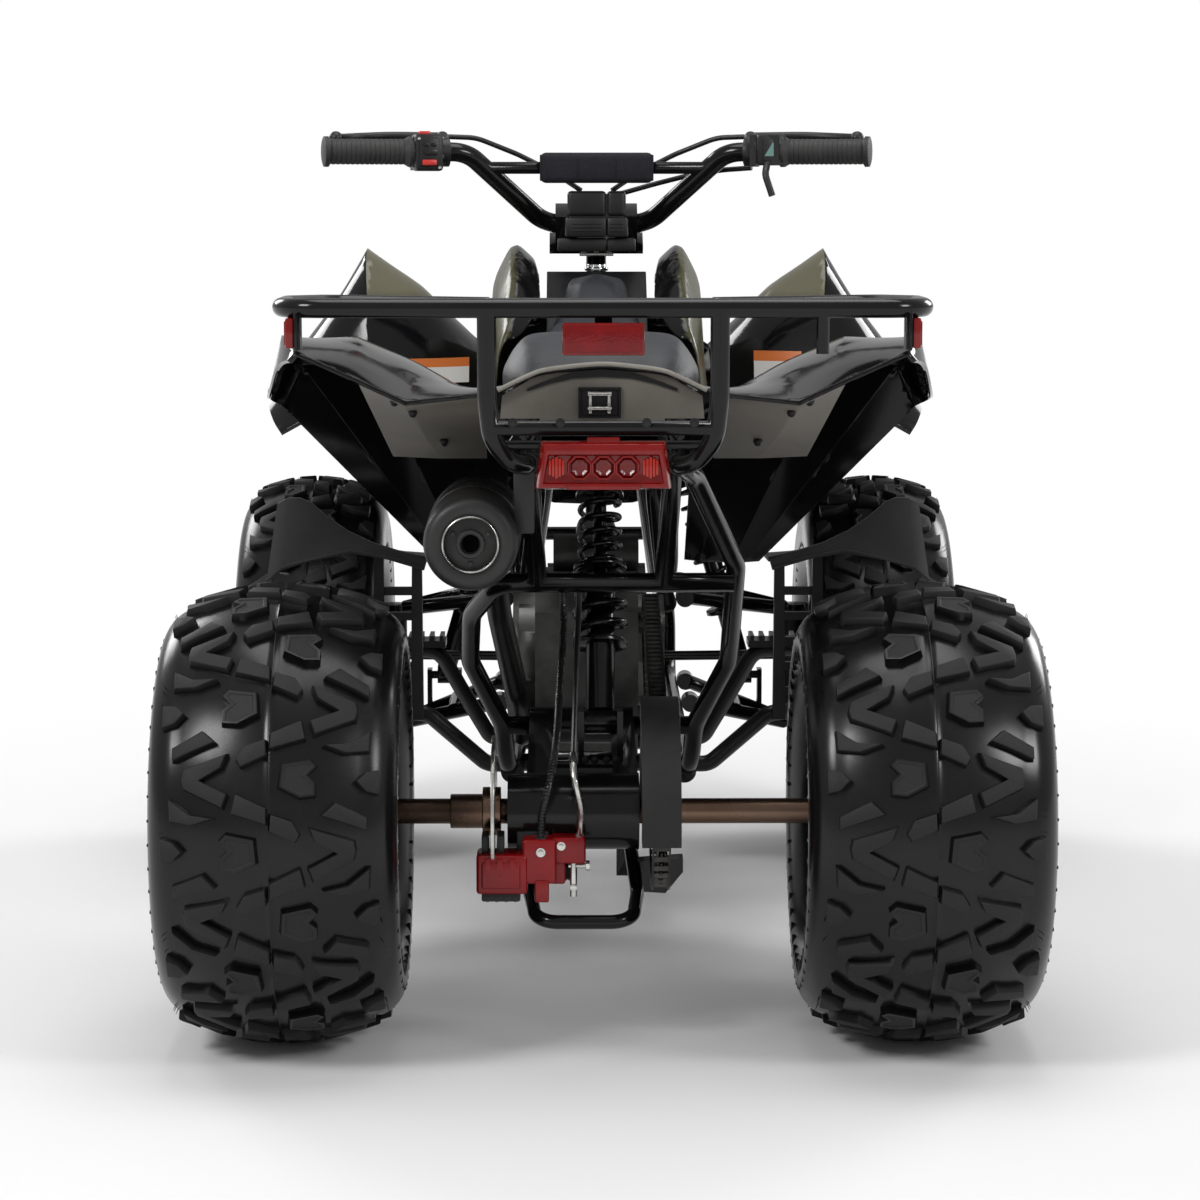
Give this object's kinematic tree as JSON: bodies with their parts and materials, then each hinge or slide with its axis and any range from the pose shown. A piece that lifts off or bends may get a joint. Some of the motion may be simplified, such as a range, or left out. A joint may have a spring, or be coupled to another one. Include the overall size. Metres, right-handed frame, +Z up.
{
  "type": "quad bike",
  "caption": "Sport style youth quad bike with knobby balloon tyres, handlebar steering, padded saddle, chain drive, tubular frame and rear rack.",
  "frame": {"origin": "on the ground, under the middle of the vehicle's length and width", "axes": "+Y forwards along the vehicle, +Z up, +X to the right as seen from behind"},
  "size_m": [0.8882, 1.4993, 0.9095],
  "materials": {
    "tyre_rubber": "semi-gloss moulded rubber",
    "rim_black": "satin black",
    "axle_steel": "worn, brown tinted",
    "disc_steel": "ground",
    "sprocket_steel": "dull",
    "frame_black": "gloss black powder coat",
    "bumper_black": "gloss black powder coat",
    "engine_alloy": "dark cast",
    "muffler_black": "heat-proof matt",
    "pipe_black": "heat-proof matt",
    "arm_black": "satin black",
    "damper_steel": "dark",
    "spring_black": "gloss black",
    "knuckle_iron": "as cast",
    "chain_steel": "oiled",
    "guard_plastic": "fine grain",
    "caliper_red": "gloss red",
    "body_black": "high gloss black",
    "liner_grey": "dusty grey grain",
    "front_body_black": "high gloss black",
    "shroud_grey": "gloss, olive cast",
    "seat_cover": "grained seat cover",
    "tank_black": "moulded",
    "cap_chrome": "polished",
    "headlight_clear": "clear lens",
    "rack_black": "gloss black powder coat",
    "lens_red": "moulded lens",
    "reflector_red": "prismatic reflector",
    "footrest_black": "satin black",
    "heel_guard_black": "semi-gloss",
    "stem_black": "satin black",
    "handlebar_black": "gloss black",
    "grip_rubber": "ribbed rubber",
    "control_plastic": "moulded",
    "pad_fabric": "padded cloth",
    "nacelle_plastic": "moulded",
    "cable_rubber": "smooth sheath",
    "line_steel": "braided"
  },
  "bodies": {
    "chassis": {"frame": "frame_black", "front_bumper": "bumper_black", "engine": "engine_alloy", "muffler": "muffler_black", "exhaust_pipe": "pipe_black", "swing_arm": "arm_black", "dampers": "damper_steel", "springs": "spring_black", "front_arms": "arm_black", "chain": "chain_steel", "chain_guard": "guard_plastic", "brake_caliper": "caliper_red", "brake_lines": "line_steel", "rear_body": "body_black", "fender_liners": "liner_grey", "front_body": "front_body_black", "nose_mask": "front_body_black", "tank_shrouds": "shroud_grey", "seat": "seat_cover", "tank": "tank_black", "fuel_cap": "cap_chrome", "headlights": "headlight_clear", "rack": "rack_black", "tail_light": "lens_red", "reflectors": "reflector_red", "footrests": "footrest_black", "heel_guards": "heel_guard_black"},
    "rear_axle": {"axle_shaft": "axle_steel", "brake_disc": "disc_steel", "rear_sprocket": "sprocket_steel", "rear_rims": "rim_black", "rear_tyre_left": "tyre_rubber", "rear_tyre_right": "tyre_rubber"},
    "steering": {"steering_stem": "stem_black", "handlebar": "handlebar_black", "grips": "grip_rubber", "hand_controls": "control_plastic", "bar_pad": "pad_fabric", "nacelle": "nacelle_plastic", "control_cables": "cable_rubber"},
    "knuckle_left_body": {"knuckle_left": "knuckle_iron"},
    "knuckle_right_body": {"knuckle_right": "knuckle_iron"},
    "front_wheel_left": {"front_rim_left": "rim_black", "front_tyre_left": "tyre_rubber"},
    "front_wheel_right": {"front_rim_right": "rim_black", "front_tyre_right": "tyre_rubber"},
    "tie_rod_left_body": {"tie_rod_left": "arm_black"},
    "tie_rod_right_body": {"tie_rod_right": "arm_black"}
  },
  "joints": [
    {"name": "rear_wheel_spin", "type": "hinge", "parent": "chassis", "child": "rear_axle", "pos_m": [0, -0.521, 0.229], "axis": [1, 0, 0], "continuous": true},
    {"name": "steering_turn", "type": "hinge", "parent": "chassis", "child": "steering", "pos_m": [0, 0.42, 0.282], "axis": [0, -0.4335, 0.9011], "range_deg": [-30, 30]},
    {"name": "steer_left", "type": "hinge", "parent": "chassis", "child": "knuckle_left_body", "pos_m": [-0.255, 0.459, 0.241], "axis": [0, 0, 1], "range_deg": [-30, 30]},
    {"name": "front_wheel_spin_left", "type": "hinge", "parent": "knuckle_left_body", "child": "front_wheel_left", "pos_m": [-0.354, 0.459, 0.241], "axis": [1, 0, 0], "continuous": true},
    {"name": "tie_rod_turn_left", "type": "hinge", "parent": "steering", "child": "tie_rod_left_body", "pos_m": [-0.011, 0.37464, 0.26095], "axis": [0, -0.4335, 0.9011], "range_deg": [-30, 30]},
    {"name": "steer_right", "type": "hinge", "parent": "chassis", "child": "knuckle_right_body", "pos_m": [0.255, 0.459, 0.241], "axis": [0, 0, 1], "range_deg": [-30, 30]},
    {"name": "front_wheel_spin_right", "type": "hinge", "parent": "knuckle_right_body", "child": "front_wheel_right", "pos_m": [0.354, 0.459, 0.241], "axis": [1, 0, 0], "continuous": true},
    {"name": "tie_rod_turn_right", "type": "hinge", "parent": "steering", "child": "tie_rod_right_body", "pos_m": [0.011, 0.37464, 0.26095], "axis": [0, -0.4335, 0.9011], "range_deg": [-30, 30]}
  ],
  "couplings": [
    {"joint": "steer_left", "follows": "steering_turn", "ratio": 1},
    {"joint": "steer_right", "follows": "steering_turn", "ratio": 1},
    {"joint": "tie_rod_turn_left", "follows": "steering_turn", "ratio": -1},
    {"joint": "tie_rod_turn_right", "follows": "steering_turn", "ratio": -1}
  ]
}
